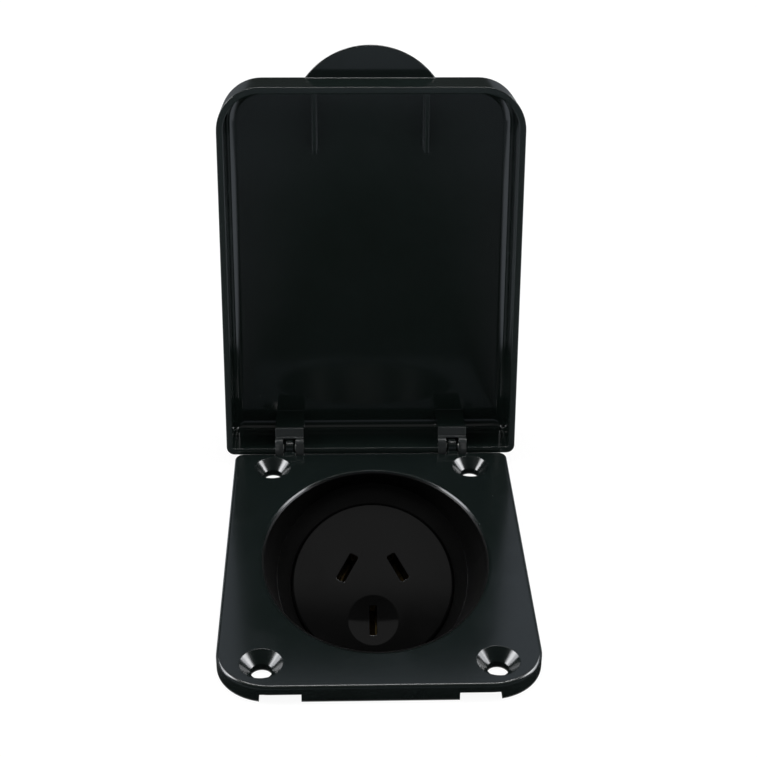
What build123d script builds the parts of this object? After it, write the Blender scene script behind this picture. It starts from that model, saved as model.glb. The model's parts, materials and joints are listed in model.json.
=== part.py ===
"""Caravan power outlet for panel mounting, in millimetres.

A flange with a tilted recess, a hinged cap lid and a three-pin mechanism with its rear cover.
The origin is the centre of the screw holes on the face that seats on the panel, +Z points out of the panel
and +Y towards the hinge.
"""

import os
from math import cos, radians, sin, tan

from build123d import *

# Flange
plate_width = 75.0
plate_length = 95.0
plate_height = 4.2
plate_skin = 2.0
skirt_wall = 2.4
front_corner = 12.8
back_corner = 2.2
plate_edge = 1.0

# Panel screw holes
screw_inset_side = 10.5
screw_inset_front = 8.25
screw_inset_back = 7.25
screw_hole = 5.0
screw_head = 10.0
screw_head_angle = 90.0
screw_boss = 9.0

# Drain notches in the front of the skirt
notch_width = 9.5
notch_height = 2.1
notch_pitch = 45.0

# Recess: a drafted cup on a tilted axis
recess_tilt = 40.0
recess_axis_y = 2.5
mouth_radius = 28.0
floor_radius = 26.0
cup_wall = 2.0
mouth_lip = 0.9
face_depth = 30.0
face_drop = 2.0
face_step = 1.2
floor_thickness = 4.5

# Socket face and its slots
disc_radius = 21.9
disc_clearance = 0.25
disc_edge = 0.5
flange_radius = 26.8
flange_thickness = 2.5
pin_x = 6.86
pin_y = 3.96
pin_angle = 30.0
earth_y = -10.31
slot_length = 8.0
slot_width = 2.5
earth_slot_width = 2.0
slot_corner = 0.5
dish_radius = 6.7
dish_depth = 0.8

# Contact base behind the face
base_width = 34.0
base_bottom = -16.0
base_top = 9.2
base_corner = 6.5
base_depth = 13.0
pocket_length = 8.4
pocket_width = 4.6

# Brass contacts and terminals
jaw_width = 6.8
jaw_length = 9.0
jaw_gap = 1.5
leaf = 0.8
strip = 1.0
terminal_size = 7.0
terminal_height = 6.5
terminal_x = 11.5
terminal_y = -9.0
earth_terminal_y = -2.5
wire_bore = 3.2
wire_height = 2.4

# Screws
thread_radius = 1.3
thread_clearance = 0.05
screw_end_gap = 0.2
head_radius = 2.6
head_height = 1.8
driver_slot = 0.8
driver_depth = 0.9
base_screw_x = 13.5
base_screw_y = 2.5
base_screw_bite = 4.5
insert_screw_x = 12.25
insert_screw_y = 21.4
cover_screw_x = 24.5
cover_screw_y = 0.0
floor_bite = 3.4

# Rear cover and cable entry
cover_wall = 1.8
cover_clearance = 0.5
cover_depth = 26.0
wire_room = 2.2
cover_slope_run = 6.5
ear_radius = 3.4
ear_thickness = 3.0
entry_radius = 6.0
entry_depth = 15.0
grommet_lip = 1.8
grommet_lip_height = 1.5
grommet_bore = 4.5
grommet_clearance = 0.05

# Hinge
hinge_reach = 2.5
hinge_rise = 0.2
hinge_inset = 14.9
knuckle_radius = 2.2
knuckle_corner = 0.9
cheek_reach = 3.0
lug_width = 3.0
lug_clearance = 0.25
lug_flat = 0.6
boss_width = 7.8
boss_reach = 5.6
boss_lift = 0.5
hinge_pin_radius = 1.0
pin_press = 0.01
pin_running = 0.05
hinge_notch = 1.2
notch_clearance = 0.3

# Lid
lid_side = 0.75
lid_back = 2.2
lid_wall = 1.7
lid_lap = 1.2
lid_clear_height = 13.8
lid_ceiling = 2.2
lid_edge = 1.4
lid_inner_edge = 2.5
lid_back_corner = 2.2
lid_corner_relief = 1.5
tab_radius = 21.8
tab_reach = 8.5
rib_pitch = 29.7
rib_thickness = 1.2
rib_length = 17.4
rib_height = 6.0
open_angle = 100.0

# Frames: the recess mouth, the socket face, the flange's ends and the hinge
tilt = radians(recess_tilt)
outward = (0, -sin(tilt), cos(tilt))
mouth = Plane(origin=(0, recess_axis_y, plate_height), x_dir=(1, 0, 0), z_dir=outward)
face = Plane(origin=mouth.from_local_coords((0, -face_drop, -face_depth)), x_dir=(1, 0, 0), z_dir=outward)
face_axis = Axis(face.origin, face.z_dir)
screw_pitch_x = plate_width - 2 * screw_inset_side
screw_pitch_y = plate_length - screw_inset_front - screw_inset_back
plate_front = -screw_pitch_y / 2 - screw_inset_front
plate_back = screw_pitch_y / 2 + screw_inset_back
plate_middle = (plate_front + plate_back) / 2
hinge_pitch = plate_width - 2 * hinge_inset
hinge_y = plate_back + hinge_reach
hinge_z = plate_height + hinge_rise
hinge_axis = Axis((0, hinge_y, hinge_z), (1, 0, 0))
sides = {"left": -1, "right": 1}

# Depths behind the socket face
floor_back = face_step + floor_thickness
insert_back = floor_back + flange_thickness
base_back = insert_back + base_depth
strip_back = base_back + strip
terminal_back = strip_back + terminal_height
cover_back = insert_back + cover_depth

# The recess as a cone: its radius at a height along the axis from the mouth
draft = (mouth_radius - floor_radius) / face_depth
floor_depth = face_depth + face_step
cup_depth = face_depth + floor_back
cup_reach = 2 * mouth_radius * tan(tilt)


def recess_radius(height):
    return mouth_radius + draft * height


def pin_places(name):
    """Centre and turn of each pin's slot on the socket face."""
    return {
        "active": (-pin_x, pin_y, -pin_angle),
        "neutral": (pin_x, pin_y, pin_angle),
        "earth": (0, earth_y, 0),
    }[name]


def terminal_place(name):
    """Centre of each terminal on the back of the contact base."""
    return {
        "active": (-terminal_x, terminal_y),
        "neutral": (terminal_x, terminal_y),
        "earth": (0, earth_terminal_y),
    }[name]


poles = ("active", "neutral", "earth")
slot_widths = {"active": slot_width, "neutral": slot_width, "earth": earth_slot_width}
base_screw_places = [(side * base_screw_x, base_screw_y) for side in sides.values()]
insert_screw_places = [(side * insert_screw_x, insert_screw_y) for side in sides.values()]
cover_screw_places = [(side * cover_screw_x, cover_screw_y) for side in sides.values()]
base_centre = (0, (base_top + base_bottom) / 2)
base_height = base_top - base_bottom
hinge_places = {name: side * hinge_pitch / 2 for name, side in sides.items()}

# Recess cup, outer and inner forms
with BuildPart() as cup:
    with BuildSketch(mouth.offset(-cup_depth)):
        Circle(recess_radius(-cup_depth) + cup_wall)
    with BuildSketch(mouth.offset(cup_reach)):
        Circle(recess_radius(cup_reach) + cup_wall)
    loft()
    split(bisect_by=Plane.XY.offset(plate_height - plate_skin / 2), keep=Keep.BOTTOM)

with BuildPart() as recess:
    with BuildSketch(mouth.offset(-floor_depth)):
        Circle(recess_radius(-floor_depth))
    with BuildSketch(mouth.offset(cup_reach)):
        Circle(recess_radius(cup_reach))
    loft()

# Hinge lug: a tongue with eased edges on a root that reaches into the flange, centred on x = 0
with BuildPart() as hinge_lug:
    with BuildSketch(Plane.YZ):
        with Locations((hinge_y, hinge_z)):
            Circle(knuckle_radius)
    extrude(amount=lug_width / 2, both=True)
    chamfer(hinge_lug.edges().filter_by(GeomType.CIRCLE), lug_flat)
    with BuildSketch(Plane.YZ):
        with Locations((hinge_y, plate_height)):
            Rectangle(hinge_reach + skirt_wall, knuckle_radius - hinge_rise, align=(Align.MAX, Align.MAX))
    extrude(amount=lug_width / 2, both=True)
    with BuildSketch(Plane.YZ):
        with Locations((hinge_y, hinge_z)):
            Circle(hinge_pin_radius + pin_running)
    extrude(amount=lug_width / 2, both=True, mode=Mode.SUBTRACT)

# Mounting plate: flange, skirt, screw bosses, recess cup and hinge lugs in one moulding
with BuildPart() as mounting_plate:
    with BuildSketch() as outline:
        with Locations((0, plate_middle)):
            Rectangle(plate_width, plate_length)
        fillet(outline.vertices().group_by(Axis.Y)[0], front_corner)
        fillet(outline.vertices().group_by(Axis.Y)[-1], back_corner)
    extrude(amount=plate_height)
    fillet(mounting_plate.faces().sort_by(Axis.Z)[-1].edges(), plate_edge)
    with BuildSketch():
        add(outline.sketch)
        offset(amount=-skirt_wall)
    extrude(amount=plate_height - plate_skin, mode=Mode.SUBTRACT)
    with BuildSketch():
        with GridLocations(screw_pitch_x, screw_pitch_y, 2, 2):
            Circle(screw_boss / 2)
    extrude(amount=plate_height - plate_skin)
    add(cup.part)
    add(recess.part, mode=Mode.SUBTRACT)
    mouth_edges = mounting_plate.faces().sort_by(Axis.Z)[-1].inner_wires()[0].edges()
    chamfer(mouth_edges, mouth_lip)
    with Locations((0, 0, plate_height)):
        with GridLocations(screw_pitch_x, screw_pitch_y, 2, 2):
            CounterSinkHole(
                screw_hole / 2, screw_head / 2, depth=plate_height, counter_sink_angle=screw_head_angle
            )
    with BuildSketch(Plane.XZ.offset(-plate_front)):
        with GridLocations(notch_pitch, 0, 2, 1):
            Rectangle(notch_width, notch_height, align=(Align.CENTER, Align.MIN))
    extrude(amount=-skirt_wall, mode=Mode.SUBTRACT)
    for hinge_x in hinge_places.values():
        with BuildSketch(Plane.XY):
            with Locations((hinge_x, plate_back)):
                Rectangle(boss_width + 2 * notch_clearance, 2 * hinge_notch)
        extrude(amount=plate_height, mode=Mode.SUBTRACT)
        with Locations((hinge_x, 0, 0)):
            add(hinge_lug.part)
    with BuildSketch(face.offset(-face_step)):
        Circle(disc_radius + disc_clearance)
    extrude(amount=-floor_thickness, mode=Mode.SUBTRACT)
    with BuildSketch(face.offset(-floor_back)):
        with Locations(*insert_screw_places, *cover_screw_places):
            Circle(thread_radius + thread_clearance)
    extrude(amount=floor_bite, mode=Mode.SUBTRACT)

# Socket insert: the slotted face with its seating flange
with BuildPart() as socket_insert:
    with BuildSketch(face):
        Circle(disc_radius)
    extrude(amount=-floor_back)
    chamfer(socket_insert.faces().sort_by(face_axis)[-1].edges(), disc_edge)
    with BuildSketch(face.offset(-floor_back)):
        Circle(flange_radius)
    extrude(amount=-flange_thickness)
    dish_sphere = (dish_radius**2 + dish_depth**2) / (2 * dish_depth)
    with Locations(face.offset(dish_sphere - dish_depth)):
        with Locations((0, earth_y)):
            Sphere(dish_sphere, mode=Mode.SUBTRACT)
    for pole in poles:
        x, y, turn = pin_places(pole)
        with BuildSketch(face):
            with Locations(Location((x, y), turn)):
                RectangleRounded(slot_widths[pole], slot_length, slot_corner)
        extrude(amount=-insert_back, mode=Mode.SUBTRACT)
    with BuildSketch(face.offset(-insert_back)):
        with Locations(*insert_screw_places, *cover_screw_places):
            Circle(thread_radius + thread_clearance)
    extrude(amount=flange_thickness, mode=Mode.SUBTRACT)
    with BuildSketch(face.offset(-insert_back)):
        with Locations(*base_screw_places):
            Circle(thread_radius + thread_clearance)
    extrude(amount=base_screw_bite, mode=Mode.SUBTRACT)

# Contact base: the block that holds the spring contacts behind the slots
with BuildPart() as contact_base:
    with BuildSketch(face.offset(-insert_back)):
        with Locations(base_centre):
            RectangleRounded(base_width, base_height, base_corner)
    extrude(amount=-base_depth)
    for pole in poles:
        x, y, turn = pin_places(pole)
        with BuildSketch(face.offset(-insert_back)):
            with Locations(Location((x, y), turn)):
                Rectangle(pocket_width, pocket_length)
        extrude(amount=-base_depth, mode=Mode.SUBTRACT)
    with BuildSketch(face.offset(-insert_back)):
        with Locations(*base_screw_places):
            Circle(thread_radius + thread_clearance)
    extrude(amount=-base_depth, mode=Mode.SUBTRACT)

# Contacts: a pair of spring leaves on a strip that runs to the terminal
contacts = {}
for pole in poles:
    x, y, turn = pin_places(pole)
    with BuildPart() as contact:
        with BuildSketch(face.offset(-base_back)):
            with Locations(Location((x, y), turn)):
                Rectangle(jaw_gap + 2 * leaf, jaw_width)
            with Locations(terminal_place(pole)):
                Rectangle(terminal_size, terminal_size)
            make_hull()
        extrude(amount=-strip)
        with BuildSketch(face.offset(-base_back)):
            with Locations(Location((x, y), turn)):
                with GridLocations(jaw_gap + leaf, 0, 2, 1):
                    Rectangle(leaf, jaw_width)
        extrude(amount=jaw_length)
    contacts[pole] = contact.part

# Terminals: brass blocks with a wire bore and a clamping screw
terminals = {}
for pole in poles:
    with BuildPart() as terminal:
        with BuildSketch(face.offset(-strip_back)):
            with Locations(terminal_place(pole)):
                Rectangle(terminal_size, terminal_size)
        extrude(amount=-terminal_height)
        wire_axis = Plane(
            origin=face.from_local_coords((terminal_place(pole)[0], 0, -strip_back - wire_height)),
            x_dir=(1, 0, 0),
            z_dir=face.y_dir,
        )
        with BuildSketch(wire_axis.offset(terminal_place(pole)[1])):
            Circle(wire_bore / 2)
        extrude(amount=terminal_size / 2, both=True, mode=Mode.SUBTRACT)
        with BuildSketch(face.offset(-terminal_back)):
            with Locations(terminal_place(pole)):
                Circle(thread_radius + thread_clearance)
        extrude(amount=terminal_height - wire_height, mode=Mode.SUBTRACT)
    terminals[pole] = terminal.part


def screws(places, seat_depth, shank):
    """Pan-head screws driven from behind, heads on the given depth."""
    with BuildPart() as group:
        with BuildSketch(face.offset(-seat_depth)):
            with Locations(*places):
                Circle(thread_radius)
        extrude(amount=shank)
        with BuildSketch(face.offset(-seat_depth)):
            with Locations(*places):
                Circle(head_radius)
        extrude(amount=-head_height)
        with BuildSketch(face.offset(-seat_depth - head_height)):
            with Locations(*places):
                Rectangle(2 * head_radius, driver_slot)
        extrude(amount=driver_depth, mode=Mode.SUBTRACT)
    return group.part


terminal_screw_shank = terminal_height - wire_height - wire_bore / 2
terminal_screws = {pole: screws([terminal_place(pole)], terminal_back, terminal_screw_shank) for pole in poles}
base_screws = screws(base_screw_places, base_back, base_depth + base_screw_bite - screw_end_gap)
insert_screws = screws(insert_screw_places, insert_back, flange_thickness + floor_bite - screw_end_gap)
cover_screws = screws(
    cover_screw_places, insert_back + ear_thickness, ear_thickness + flange_thickness + floor_bite - screw_end_gap
)

# Rear cover: a cap over the contacts and terminals, sloped to clear the panel, with ears for its screws
room_width = base_width + 2 * cover_clearance
room_top = base_top + cover_clearance
room_bottom = base_bottom - wire_room
room_centre = (0, (room_top + room_bottom) / 2)
room_height = room_top - room_bottom
room_corner = base_corner + cover_clearance
room_slope = [
    (room_top, -base_back - cover_clearance),
    (room_top, cover_wall - cover_back),
    (room_top - cover_slope_run, cover_wall - cover_back),
]
cover_slope = [(y + cover_wall, z - cover_wall) for y, z in room_slope]
side_view = Plane(origin=face.origin, x_dir=face.y_dir, z_dir=(1, 0, 0))

with BuildPart() as cover_room:
    with BuildSketch(face.offset(-insert_back)):
        with Locations(room_centre):
            RectangleRounded(room_width, room_height, room_corner)
    extrude(amount=-cover_depth + cover_wall)
    with BuildSketch(side_view):
        with BuildLine():
            Polyline(*room_slope, close=True)
        make_face()
    extrude(amount=room_width, both=True, mode=Mode.SUBTRACT)

with BuildPart() as rear_cover:
    with BuildSketch(face.offset(-insert_back)):
        with Locations(room_centre):
            RectangleRounded(room_width + 2 * cover_wall, room_height + 2 * cover_wall, room_corner + cover_wall)
    extrude(amount=-cover_depth)
    with BuildSketch(side_view):
        with BuildLine():
            Polyline(*cover_slope, close=True)
        make_face()
    extrude(amount=room_width, both=True, mode=Mode.SUBTRACT)
    with BuildSketch(face.offset(-insert_back)):
        with Locations(*cover_screw_places):
            Circle(ear_radius)
        with Locations((0, cover_screw_y)):
            Rectangle(2 * cover_screw_x, 2 * ear_radius)
    extrude(amount=-ear_thickness)
    add(cover_room.part, mode=Mode.SUBTRACT)
    with BuildSketch(face.offset(-insert_back)):
        with Locations(*cover_screw_places):
            Circle(thread_radius + thread_clearance)
    extrude(amount=-ear_thickness, mode=Mode.SUBTRACT)
    entry = Plane(
        origin=face.from_local_coords((0, room_bottom - cover_wall, -insert_back - entry_depth)),
        x_dir=(1, 0, 0),
        z_dir=-face.y_dir,
    )
    with BuildSketch(entry):
        Circle(entry_radius)
    extrude(amount=-cover_wall, mode=Mode.SUBTRACT)

# Cable grommet in the cover's entry
with BuildPart() as cable_grommet:
    with BuildSketch(entry):
        Circle(entry_radius - grommet_clearance)
    extrude(amount=-cover_wall)
    with BuildSketch(entry, entry.offset(-cover_wall - grommet_lip_height)):
        Circle(entry_radius + grommet_lip)
    extrude(amount=grommet_lip_height)
    with BuildSketch(entry.offset(grommet_lip_height)):
        Circle(grommet_bore)
    extrude(amount=-cover_wall - 2 * grommet_lip_height, mode=Mode.SUBTRACT)

# Lid, drawn closed over the flange and then turned to its open stop
lid_half_width = plate_width / 2 + lid_side + lid_wall
lid_front = plate_front - lid_side - lid_wall
lid_rear = plate_back + lid_back + lid_wall
lid_length = lid_rear - lid_front
lid_middle = (lid_rear + lid_front) / 2
lid_rim = plate_height - lid_lap
lid_inside = plate_height + lid_clear_height
lid_top = lid_inside + lid_ceiling
lid_corner = front_corner - lid_corner_relief

with BuildSketch() as lid_outline:
    with Locations((0, lid_middle)):
        Rectangle(2 * lid_half_width, lid_length)
    fillet(lid_outline.vertices().group_by(Axis.Y)[0], lid_corner)
    fillet(lid_outline.vertices().group_by(Axis.Y)[-1], lid_back_corner)

# Room inside the lid, rounded to the ceiling all round but for the back edge and its two corners
with BuildPart() as lid_room:
    with BuildSketch(Plane.XY.offset(lid_rim)):
        add(lid_outline.sketch)
        offset(amount=-lid_wall)
    extrude(amount=lid_inside - lid_rim)
    fillet(lid_room.faces().sort_by(Axis.Z)[-1].edges().sort_by(Axis.Y)[:-3], lid_inner_edge)

with BuildPart() as lid:
    with BuildSketch(Plane.XY.offset(lid_rim)):
        add(lid_outline.sketch)
    extrude(amount=lid_top - lid_rim)
    with BuildSketch(Plane.XY.offset(lid_inside)):
        with Locations((0, lid_front - tab_reach + tab_radius)):
            Circle(tab_radius)
    extrude(amount=lid_ceiling)
    fillet(lid.faces().sort_by(Axis.Z)[-1].edges(), lid_edge)
    add(lid_room.part, mode=Mode.SUBTRACT)
    with BuildSketch(Plane.XY.offset(lid_inside)):
        with Locations((0, lid_front + lid_wall)):
            with GridLocations(rib_pitch, 0, 2, 1):
                Rectangle(rib_thickness, rib_length, align=(Align.CENTER, Align.MIN))
    extrude(amount=-rib_height)
    for hinge_x in hinge_places.values():
        with BuildSketch(Plane.YZ.offset(hinge_x)):
            with Locations((hinge_y - boss_reach, plate_height + boss_lift)):
                Rectangle(lid_rear - hinge_y + boss_reach, lid_clear_height - boss_lift, align=Align.MIN)
        extrude(amount=boss_width / 2, both=True)
        with BuildSketch(Plane.YZ.offset(hinge_x)) as cheek:
            with Locations((hinge_y + knuckle_radius, hinge_z - knuckle_radius)):
                Rectangle(
                    cheek_reach + knuckle_radius,
                    lid_inside - hinge_z + knuckle_radius,
                    align=(Align.MAX, Align.MIN),
                )
            fillet(cheek.vertices().group_by(Axis.Z)[0], knuckle_corner)
        extrude(amount=boss_width / 2, both=True)
        with BuildSketch(Plane.YZ.offset(hinge_x)):
            with Locations((hinge_y, hinge_z)):
                Circle(knuckle_radius + notch_clearance)
            with Locations((hinge_y, plate_height + notch_clearance)):
                Rectangle(
                    2 * (cheek_reach + notch_clearance),
                    2 * (knuckle_radius + notch_clearance),
                    align=(Align.CENTER, Align.MAX),
                )
        extrude(amount=lug_width / 2 + lug_clearance, both=True, mode=Mode.SUBTRACT)
        with BuildSketch(Plane.YZ.offset(hinge_x)):
            with Locations((hinge_y, hinge_z)):
                Circle(hinge_pin_radius + pin_press)
        extrude(amount=boss_width / 2, both=True, mode=Mode.SUBTRACT)

# Hinge pins, one through each pair of knuckles
hinge_pins = {}
for name, hinge_x in hinge_places.items():
    with BuildPart() as hinge_pin:
        with BuildSketch(Plane.YZ.offset(hinge_x)):
            with Locations((hinge_y, hinge_z)):
                Circle(hinge_pin_radius)
        extrude(amount=boss_width / 2, both=True)
    hinge_pins[name] = hinge_pin.part

pieces = {
    "mounting_plate": mounting_plate.part,
    "lid": lid.part.rotate(hinge_axis, -open_angle),
    "socket_insert": socket_insert.part,
    "contact_base": contact_base.part,
    "base_screws": base_screws,
    "insert_screws": insert_screws,
    "cover_screws": cover_screws,
    "rear_cover": rear_cover.part,
    "cable_grommet": cable_grommet.part,
}
pieces.update({f"hinge_pin_{name}": pin for name, pin in hinge_pins.items()})
pieces.update({f"{pole}_contact": contacts[pole] for pole in poles})
pieces.update({f"{pole}_terminal": terminals[pole] for pole in poles})
pieces.update({f"{pole}_terminal_screw": terminal_screws[pole] for pole in poles})

os.makedirs("parts", exist_ok=True)
for name, piece in pieces.items():
    piece.label = name
    export_step(piece, f"parts/{name}.step")
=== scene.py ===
"""Finishes, studio and camera for the caravan power outlet, in metres and in the part's own frame."""

import json
import math

import bpy
from mathutils import Matrix, Vector

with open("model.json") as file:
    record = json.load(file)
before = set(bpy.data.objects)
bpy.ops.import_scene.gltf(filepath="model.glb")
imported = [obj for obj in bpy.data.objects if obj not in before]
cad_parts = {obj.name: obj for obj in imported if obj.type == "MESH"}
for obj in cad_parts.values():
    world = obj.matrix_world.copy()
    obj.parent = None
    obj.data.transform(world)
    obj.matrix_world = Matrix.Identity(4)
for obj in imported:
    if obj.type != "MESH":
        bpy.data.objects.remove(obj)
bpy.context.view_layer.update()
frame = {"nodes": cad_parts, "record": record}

MM = 0.001

# Camera, as the photograph was taken
CAMERA_PLACE = Vector((-9.468, -299.004, 230.823)) * MM
CAMERA_ELEVATION = 30.372
CAMERA_AZIMUTH = -1.878
CAMERA_ROLL = 0.564
CAMERA_LENS = 70.835
CAMERA_NEAR = 0.01
SENSOR_WIDTH = 36.0

# Panel that the flange sits on, with its cut-out round the cup
PANEL_REACH = 4.0
PANEL_DROP = 0.02 * MM
PANEL_TONE = 0.86
PANEL_GLOW = 1.05
SHADOW_DEPTH = 0.12
CUTOUT_CENTRE = Vector((0, 6.0)) * MM
CUTOUT_HALF = Vector((30.5, 39.5)) * MM
CUTOUT_STEPS = 96

# Painted shade in the gap under the hinge, where the panel loses its glow as far as it is closed in
HINGE_GAP_HALF = 36.8 * MM
HINGE_GAP_START = 44 * MM
HINGE_GAP_DEPTH = 8 * MM
HINGE_GAP_OPEN = (0.4, 0.75)
HINGE_GAP_SAMPLES = 2

# Painted shade in the recess of the mounting plate: a darker and duller finish there
RECESS_MOUTH = Vector((0, 2.5, 4.2)) * MM
RECESS_TILT = 40.0
RECESS_RADIUS = 28.0 * MM
RECESS_DRAFT = 1 / 15
RECESS_MARGIN = 0.4 * MM
RECESS_ROUGHNESS = 0.3
RECESS_SPECULAR = 0.15

# Hinge bosses of the lid, for the painted light that makes their fronts paler
BOSS_PITCH = 45.2 * MM
BOSS_WIDTH = 7.9 * MM
BOSS_FRONT = 51.6 * MM
BOSS_TOP = 10.6 * MM

# Detail of moulded plastic
FLOW_SIZE = 26 * MM
FLOW_STRETCH = (1, 0.6, 1)
HAZE_SIZE = 7 * MM
LINE_SIZE = 0.5 * MM
LINE_STRETCH = (1, 0.03, 0.03)
SMEAR_SIZE = 11 * MM
SMEAR_RANGE = (0.52, 0.7)
DUST_SPACING = 4.5 * MM
DUST_RADIUS = 0.09 * MM
DUST_COLOUR = (0.32, 0.33, 0.34, 1)
GRAIN_DEPTH = 0.02 * MM
EDGE_SAMPLES = 6

# Tent round the outlet that only reflections see: its sheet on the panel
TENT_REACH = 1.5
TENT_LIFT = 0.3 * MM
LID_FOOT = 60 * MM
SHEET_MIDDLE = 38 * MM
SHEET_TURN = 0.027
SHEET_SPREAD = 0.45
SHEET_CURVE = 1.3
SHEET_BACK_FADE = 40 * MM
SHEET_BACK_LOSS = 0.85
SHEET_DARK = (0.02, 0.02, 0.02, 1)
SHEET_PALE = (1.0, 1.08, 1.2, 1)

# The tent's dome, with tones by turn: 0 at the front horizon, 0.5 overhead and 1 at the back horizon
TENT_RINGS = 24
TENT_STEPS = 48
SIDE_GLOW = (0.20, 0.22, 0.25, 1)
SIDE_GLOW_START = (0.03, 0.12)
SIDE_GLOW_TURN = (0.03, 0.05)
SIDE_STRIP = (8.0, 8.1, 8.4, 1)
SIDE_STRIP_START = (0.68, 0.76)
SIDE_STRIP_TURN = (0.4, 0.8)
DOME_TONES = (
    (0.0, (0.07, 0.08, 0.085, 1)),
    (0.018, (0.06, 0.07, 0.075, 1)),
    (0.03, (0.36, 0.40, 0.46, 1)),
    (0.06, (0.2, 0.22, 0.25, 1)),
    (0.17, (0.02, 0.02, 0.02, 1)),
    (0.337, (0.015, 0.015, 0.015, 1)),
    (0.344, (0.22, 0.22, 0.22, 1)),
    (0.555, (0.22, 0.22, 0.22, 1)),
    (0.56, (7.0, 7.0, 7.0, 1)),
    (0.58, (7.0, 7.0, 7.0, 1)),
    (0.585, (0.22, 0.22, 0.22, 1)),
    (0.70, (0.44, 0.47, 0.53, 1)),
    (0.79, (0.53, 0.57, 0.66, 1)),
    (0.83, (0.2, 0.2, 0.22, 1)),
    (0.86, (0.02, 0.02, 0.02, 1)),
)

# Room light, and the lamps by place, width, height and power
ROOM_LIGHT = 0.4
ROOM_WHITE = 1.0
LAMP_AIM = Vector((0, 0, 0.03))
LAMPS = {
    "top_box": (Vector((0, 0.25, 1.1)), 0.9, 0.13, 5.0),
    "left_box": (Vector((-0.8, 0.05, 0.6)), 0.3, 0.4, 3.2),
    "right_box": (Vector((0.8, 0.05, 0.6)), 0.3, 0.4, 3.2),
}


class Signal:
    """A shader output that adds Math nodes when it is used in an expression."""

    def __init__(self, finish, socket):
        self.finish = finish
        self.socket = socket

    def maths(self, operation, first, second=0.0):
        return self.finish.node("Math", {"operation": operation}, {0: first, 1: second})

    def __add__(self, other):
        return self.maths("ADD", self, other)

    def __radd__(self, other):
        return self.maths("ADD", other, self)

    def __sub__(self, other):
        return self.maths("SUBTRACT", self, other)

    def __rsub__(self, other):
        return self.maths("SUBTRACT", other, self)

    def __mul__(self, other):
        return self.maths("MULTIPLY", self, other)

    def __truediv__(self, other):
        return self.maths("DIVIDE", self, other)

    def __pow__(self, other):
        return self.maths("POWER", self, other)

    def __abs__(self):
        return self.maths("ABSOLUTE", self)

    def __gt__(self, other):
        return self.maths("GREATER_THAN", self, other)

    def __lt__(self, other):
        return self.maths("LESS_THAN", self, other)

    def root(self):
        return self.maths("SQRT", self)

    def largest(self, other):
        return self.maths("MAXIMUM", self, other)

    def angle_over(self, other):
        """Angle of the slope that rises by this over a run of the other."""
        return self.maths("ARCTAN2", self, other)


class Finish:
    """A node tree, of a material or of the world, that is written as expressions."""

    def __init__(self, owner):
        owner.use_nodes = True
        self.owner = owner
        self.tree = owner.node_tree
        self.tree.nodes.clear()

    def node(self, kind, settings=None, inputs=None, output=0):
        made = self.tree.nodes.new("ShaderNode" + kind)
        for name, value in (settings or {}).items():
            if name == "stops":
                for stop, (place, colour) in zip(self.ramp_stops(made, len(value)), value):
                    stop.position = place
                    stop.color = colour
            else:
                setattr(made, name, value)
        for name, value in (inputs or {}).items():
            if isinstance(value, Signal):
                self.tree.links.new(value.socket, made.inputs[name])
            else:
                made.inputs[name].default_value = value
        return Signal(self, made.outputs[output])

    def ramp_stops(self, made, count):
        stops = made.color_ramp.elements
        while len(stops) < count:
            stops.new(1.0)
        return stops

    def place(self, stretch=(1, 1, 1)):
        """Position in the part's frame, stretched per axis."""
        coordinates = self.node("TexCoord", output="Object")
        return self.node("Mapping", {}, {"Vector": coordinates, "Scale": stretch})

    def axes(self, place):
        return [self.node("SeparateXYZ", {}, {"Vector": place}, axis) for axis in "XYZ"]

    def noise(self, size, detail=2.0, stretch=(1, 1, 1)):
        """Soft noise, 0 to 1, with features of about this size."""
        inputs = {"Vector": self.place(stretch), "Scale": 1 / size, "Detail": detail}
        return self.node("TexNoise", {}, inputs, "Fac")

    def range(self, value, low, high, to_low=0.0, to_high=1.0):
        inputs = {"Value": value, "From Min": low, "From Max": high, "To Min": to_low, "To Max": to_high}
        return self.node("MapRange", {"clamp": True}, inputs)

    def specks(self, spacing, radius, share):
        """Scattered dots of this radius, on a share of the cells."""
        settings = {"feature": "F1"}
        inputs = {"Vector": self.place(), "Scale": 1 / spacing, "Randomness": 1.0}
        distance = self.node("TexVoronoi", settings, inputs, "Distance")
        colour = self.node("TexVoronoi", settings, inputs, "Color")
        pick = self.node("SeparateColor", {}, {"Color": colour}, "Red")
        return (distance < radius / spacing) * (pick < share)

    def mix(self, factor, first, second):
        """Colour between two colours: the Mix node's colours are its inputs 6 and 7 and its output 2."""
        settings = {"data_type": "RGBA"}
        return self.node("Mix", settings, {"Factor": factor, 6: first, 7: second}, 2)

    def blend(self, factor, first, second):
        """Shader between two shaders."""
        return self.node("MixShader", {}, {0: factor, 1: first, 2: second})

    def eased_edges(self, radius):
        """Normals that turn over the sharp edges within this radius."""
        return self.node("Bevel", {"samples": EDGE_SAMPLES}, {"Radius": radius}, "Normal")

    def bump(self, height, strength, distance, normal=None):
        inputs = {"Height": height, "Strength": strength, "Distance": distance}
        if normal:
            inputs["Normal"] = normal
        return self.node("Bump", {}, inputs)

    def clear_below(self, shader):
        """The shader from above, and nothing from below."""
        underside = self.node("NewGeometry", output="Backfacing")
        return self.blend(underside, shader, self.node("BsdfTransparent"))

    def end(self, kind, shader):
        """Join the shader to the tree's output, and give back what the tree belongs to."""
        output = self.tree.nodes.new("ShaderNode" + kind)
        self.tree.links.new(shader.socket, output.inputs["Surface"])
        return self.owner

    def surface(self, shader):
        return self.end("OutputMaterial", shader)

    def background(self, shader):
        return self.end("OutputWorld", shader)


def new_finish(name):
    return Finish(bpy.data.materials.new(name))


def grey(level):
    return (level, level, level, 1)


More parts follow.
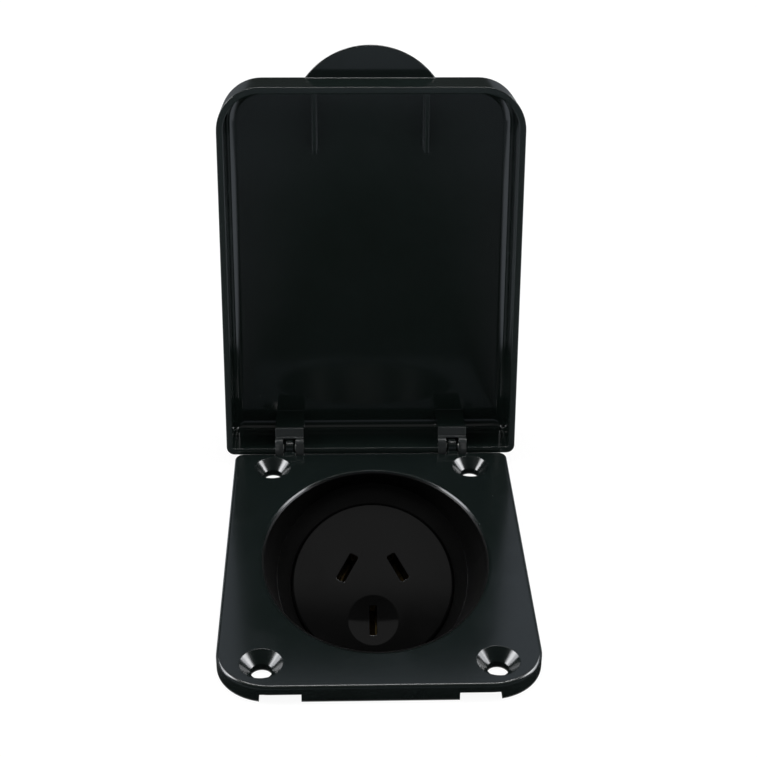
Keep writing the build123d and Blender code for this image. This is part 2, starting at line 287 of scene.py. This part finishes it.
def painted_recess_shade(finish):
    """1 inside the tilted recess of the mounting plate, where shade is painted, 0 elsewhere."""
    place = finish.node("Mapping", {"vector_type": "TEXTURE"}, {
        "Vector": finish.place(),
        "Location": RECESS_MOUTH,
        "Rotation": (math.radians(RECESS_TILT), 0, 0),
    })
    x, y, height = finish.axes(place)
    away = (x * x + y * y).root() - height * RECESS_DRAFT
    return away < RECESS_RADIUS + RECESS_MARGIN


def hinge_boss_painted_light(finish):
    """1 on the fronts of the lid's hinge bosses, where light is painted on, 0 elsewhere."""
    x, y, z = finish.axes(finish.place())
    aside = abs(x) - BOSS_PITCH / 2
    return (aside * aside < (BOSS_WIDTH / 2) ** 2) * (y < BOSS_FRONT) * (z < BOSS_TOP)


def moulded(
    name, colour, bloom, roughness, grain, specular, dust,
    relief=0.12, ease=0.3 * MM, recess=None, bosses=None,
):
    """Moulded plastic: flow bloom in the colour and gloss, fine grain, handling marks and dust, with
    painted light on hinge boss fronts and painted shade in the recess where these are given.
    """
    finish = new_finish(name)
    flow = finish.noise(FLOW_SIZE, 3.0, FLOW_STRETCH)
    haze = finish.noise(HAZE_SIZE, 4.0)
    fine = finish.noise(grain, 3.0)
    lines = finish.noise(LINE_SIZE, 2.0, LINE_STRETCH)
    smear = finish.range(finish.noise(SMEAR_SIZE, 5.0), *SMEAR_RANGE)
    dots = finish.specks(DUST_SPACING, DUST_RADIUS, dust)
    clouded = finish.mix(finish.range(flow * 0.7 + haze * 0.3, 0.35, 0.65), colour, bloom)
    gloss = roughness + (haze - 0.5) * 0.04 + smear * 0.04 + dots * 0.3
    # Painted light: paler fronts on the lid's hinge bosses, where light falls on them
    if bosses:
        clouded = finish.mix(hinge_boss_painted_light(finish), clouded, bosses)
    dusted = finish.mix(dots * 0.75, clouded, DUST_COLOUR)
    ripple = fine * 0.7 + haze * 0.3 + lines * 0.25
    normal = finish.bump(ripple, relief, GRAIN_DEPTH, finish.eased_edges(ease))
    shader = finish.node("BsdfPrincipled", {}, {
        "Base Color": dusted,
        "Roughness": gloss,
        "Specular IOR Level": specular,
        "Normal": normal,
    })
    # Painted shade: a darker, duller finish inside the recess
    if recess:
        recess_shade_shader = finish.node("BsdfPrincipled", {}, {
            "Base Color": finish.mix(haze, grey(0.6 * recess), grey(1.4 * recess)),
            "Roughness": RECESS_ROUGHNESS + (haze - 0.5) * 0.1,
            "Specular IOR Level": RECESS_SPECULAR,
            "Normal": normal,
        })
        shader = finish.blend(painted_recess_shade(finish), shader, recess_shade_shader)
    return finish.surface(shader)


def rolled_metal(name, colour, tarnish, roughness, grain_axis):
    """Rolled or plated metal with fine drawing lines and a little tarnish."""
    finish = new_finish(name)
    lines = finish.noise(0.12 * MM, 2.0, grain_axis)
    cloud = finish.noise(2.5 * MM, 4.0)
    return finish.surface(finish.node("BsdfPrincipled", {}, {
        "Base Color": finish.mix(finish.range(cloud, 0.45, 0.75), colour, tarnish),
        "Metallic": 1.0,
        "Roughness": roughness + (lines - 0.5) * 0.2 + (cloud - 0.5) * 0.15,
        "Normal": finish.bump(lines, 0.15, GRAIN_DEPTH),
    }))


def moulded_rubber(name, colour, bloom):
    """Dull rubber with a fine grain and a cloudy bloom."""
    finish = new_finish(name)
    fine = finish.noise(0.3 * MM, 4.0)
    cloud = finish.noise(4 * MM, 3.0)
    return finish.surface(finish.node("BsdfPrincipled", {}, {
        "Base Color": finish.mix(cloud, colour, bloom),
        "Roughness": 0.72 + (cloud - 0.5) * 0.2,
        "Normal": finish.bump(fine, 0.2, 2 * GRAIN_DEPTH),
    }))


# Finishes of the part's pieces
finishes = {
    "gloss_black": moulded(
        "gloss_black", (0.0075, 0.0120, 0.0104, 1), (0.0088, 0.0138, 0.0126, 1), 0.09, 0.35 * MM, 0.5, 0.10,
        # bosses: painted light, the paler colour of the hinge boss fronts
        relief=0.06, ease=0.4 * MM, bosses=(0.036, 0.040, 0.040, 1),
    ),
    # The mounting plate's own copy of the gloss black, darker: painted shade, as the plate takes more of
    # the light
    "plate_black_shaded": moulded(
        "plate_black_shaded", (0.0050, 0.0080, 0.0072, 1), (0.0060, 0.0092, 0.0090, 1), 0.16, 0.35 * MM, 0.5, 0.10,
        # recess: the grey of the painted shade inside the recess
        relief=0.06, ease=0.2 * MM, recess=0.006,
    ),
    "satin_black": moulded(
        "satin_black", grey(0.0042), grey(0.0055), 0.07, 0.22 * MM, 0.5, 0.05, relief=0.02,
    ),
    "base_black": moulded("base_black", grey(0.02), grey(0.028), 0.5, 0.3 * MM, 0.4, 0.03),
    "cover_black": moulded("cover_black", grey(0.015), grey(0.021), 0.38, 0.3 * MM, 0.5, 0.05),
    "brass": rolled_metal("brass", (0.60, 0.43, 0.18, 1), (0.36, 0.24, 0.09, 1), 0.28, (1, 0.05, 1)),
    "steel": rolled_metal("steel", (0.62, 0.62, 0.6, 1), (0.45, 0.45, 0.44, 1), 0.3, (0.05, 1, 1)),
    "rubber": moulded_rubber("rubber", grey(0.018), grey(0.035)),
}
# The mounting plate takes its darker copy, with painted shade in its colour
own_finishes = {"mounting_plate": "plate_black_shaded"}
for piece in frame["record"]["subparts"]:
    slots = frame["nodes"][piece["node"]].data.materials
    slots.clear()
    slots.append(finishes[own_finishes.get(piece["node"], piece["material_slot"])])


def stage_mesh(name, points, faces, material):
    mesh = bpy.data.meshes.new(name)
    mesh.from_pydata(points, [], faces)
    mesh.materials.append(material)
    made = bpy.data.objects.new(name, mesh)
    bpy.context.scene.collection.objects.link(made)
    return made


def seen_rays(finish):
    """1 for rays that look at the background: from the camera, or by reflection or through glass."""
    kinds = ("Is Camera Ray", "Is Glossy Ray", "Is Transmission Ray")
    camera, glossy, transmission = (finish.node("LightPath", output=kind) for kind in kinds)
    return camera.largest(glossy).largest(transmission)


def panel_paint():
    """Paint that looks white from above, keeps a faint shadow, and has painted shade in the gap under the
    hinge.
    """
    finish = new_finish("panel_paint")
    paint = finish.node("BsdfDiffuse", {}, {"Color": grey(PANEL_TONE)})
    glow = finish.node("Emission", {}, {"Color": grey(1.0), "Strength": PANEL_GLOW})
    across, along, _ = finish.axes(finish.place())
    under_lid = (across * across < HINGE_GAP_HALF**2) * (along > HINGE_GAP_START)
    settings = {"samples": HINGE_GAP_SAMPLES}
    sky = finish.node("AmbientOcclusion", settings, {"Distance": HINGE_GAP_DEPTH}, "AO")
    shade = finish.range(sky, *HINGE_GAP_OPEN, 1, 0)
    lit = seen_rays(finish) * (1 - SHADOW_DEPTH) * (1 - under_lid * shade)
    return finish.surface(finish.clear_below(finish.blend(lit, paint, glow)))


def sheet(name, reach, height, material):
    """A wide flat sheet with an oval cut-out where the cup goes through it."""
    points = []
    for step in range(CUTOUT_STEPS):
        turn = 2 * math.pi * step / CUTOUT_STEPS
        across, along = math.cos(turn), math.sin(turn)
        edge = CUTOUT_CENTRE + Vector((CUTOUT_HALF.x * across, CUTOUT_HALF.y * along))
        points.append((*edge, height))
        points.append((reach * across, reach * along, height))
    faces = []
    for step in range(CUTOUT_STEPS):
        inner = 2 * step
        after = 2 * ((step + 1) % CUTOUT_STEPS)
        faces.append((inner, inner + 1, after + 1, after))
    return stage_mesh(name, points, faces, material)


def seen_in_reflections(made):
    """Hide a studio piece from all but reflections."""
    made.visible_camera = False
    made.visible_diffuse = False
    made.visible_shadow = False
    made.visible_transmission = False


def tent_sheet_tone():
    """Dark in front of the lid, beside the flange and behind the lid, pale to both sides."""
    finish = new_finish("tent_sheet_tone")
    across, along, _ = finish.axes(finish.place())
    ahead = (LID_FOOT - along).largest(SHEET_MIDDLE)
    spread = (abs(across - ahead * SHEET_TURN) - SHEET_MIDDLE) / ahead
    behind = finish.range(along, LID_FOOT, LID_FOOT + SHEET_BACK_FADE)
    pale = finish.range(spread, 0, SHEET_SPREAD) * (1 - behind * SHEET_BACK_LOSS)
    tone = finish.mix(pale**SHEET_CURVE, SHEET_DARK, SHEET_PALE)
    return finish.surface(finish.clear_below(finish.node("Emission", {}, {"Color": tone})))


def tent_dome_tone():
    """Tones from the front horizon over the top to the back horizon, with a bright strip on each side."""
    finish = new_finish("tent_dome_tone")
    across, along, height = finish.axes(finish.place())
    turn = height.angle_over(0 - along) / math.pi
    tone = finish.node("ValToRGB", {"stops": DOME_TONES}, {"Fac": turn})
    sided = across / TENT_REACH
    low = finish.range(turn, *SIDE_GLOW_TURN, 1, 0)
    glow = finish.range(abs(sided - SHEET_TURN), *SIDE_GLOW_START) * low
    start, end = SIDE_STRIP_TURN
    strip = finish.range(abs(sided), *SIDE_STRIP_START) * (turn > start) * (turn < end)
    tone = finish.mix(strip, finish.mix(glow, tone, SIDE_GLOW), SIDE_STRIP)
    return finish.surface(finish.node("Emission", {}, {"Color": tone}))


def tent_dome():
    """Half a sphere over the outlet."""
    points = []
    for ring in range(TENT_RINGS + 1):
        rise = math.pi / 2 * ring / TENT_RINGS
        level = TENT_REACH * math.cos(rise)
        for step in range(TENT_STEPS):
            turn = 2 * math.pi * step / TENT_STEPS
            points.append((level * math.cos(turn), level * math.sin(turn), TENT_REACH * math.sin(rise)))
    faces = []
    for ring in range(TENT_RINGS):
        for step in range(TENT_STEPS):
            low, after = ring * TENT_STEPS + step, ring * TENT_STEPS + (step + 1) % TENT_STEPS
            faces.append((low, after, after + TENT_STEPS, low + TENT_STEPS))
    return stage_mesh("tent_dome", points, faces, tent_dome_tone())


def softbox(name, place, width, height, power):
    """A rectangular area lamp aimed at the middle of the outlet."""
    lamp = bpy.data.lights.new(name, "AREA")
    lamp.shape = "RECTANGLE"
    lamp.size = width
    lamp.size_y = height
    lamp.energy = power
    made = bpy.data.objects.new(name, lamp)
    made.location = place
    made.rotation_euler = (LAMP_AIM - place).to_track_quat("-Z", "Y").to_euler()
    bpy.context.scene.collection.objects.link(made)


def studio():
    """The room's light, the panel, the tent and the lamps."""
    finish = Finish(bpy.data.worlds.new("studio"))
    room = finish.node("Background", {}, {"Color": grey(1.0), "Strength": ROOM_LIGHT})
    white = finish.node("Background", {}, {"Color": grey(1.0), "Strength": ROOM_WHITE})
    bpy.context.scene.world = finish.background(finish.blend(seen_rays(finish), room, white))
    sheet("panel", PANEL_REACH, -PANEL_DROP, panel_paint())
    seen_in_reflections(sheet("tent_sheet", TENT_REACH, TENT_LIFT, tent_sheet_tone()))
    seen_in_reflections(tent_dome())
    for name, lamp in LAMPS.items():
        softbox(name, *lamp)


def photograph_camera():
    """The camera at the photograph's place, turn and lens."""
    elevation, azimuth, roll = (math.radians(a) for a in (CAMERA_ELEVATION, CAMERA_AZIMUTH, CAMERA_ROLL))
    back = Vector((
        math.sin(azimuth) * math.cos(elevation),
        -math.cos(azimuth) * math.cos(elevation),
        math.sin(elevation),
    ))
    level = Vector((math.cos(azimuth), math.sin(azimuth), 0))
    rise = back.cross(level)
    right = level * math.cos(roll) + rise * math.sin(roll)
    up = rise * math.cos(roll) - level * math.sin(roll)
    camera = bpy.data.cameras.new("camera")
    camera.lens = CAMERA_LENS
    camera.sensor_width = SENSOR_WIDTH
    camera.clip_start = CAMERA_NEAR
    made = bpy.data.objects.new("camera", camera)
    turn = Matrix((right, up, back)).transposed()
    made.matrix_world = Matrix.Translation(CAMERA_PLACE) @ turn.to_4x4()
    bpy.context.scene.collection.objects.link(made)
    bpy.context.scene.camera = made


studio()
photograph_camera()
bpy.context.scene.view_settings.view_transform = "Standard"
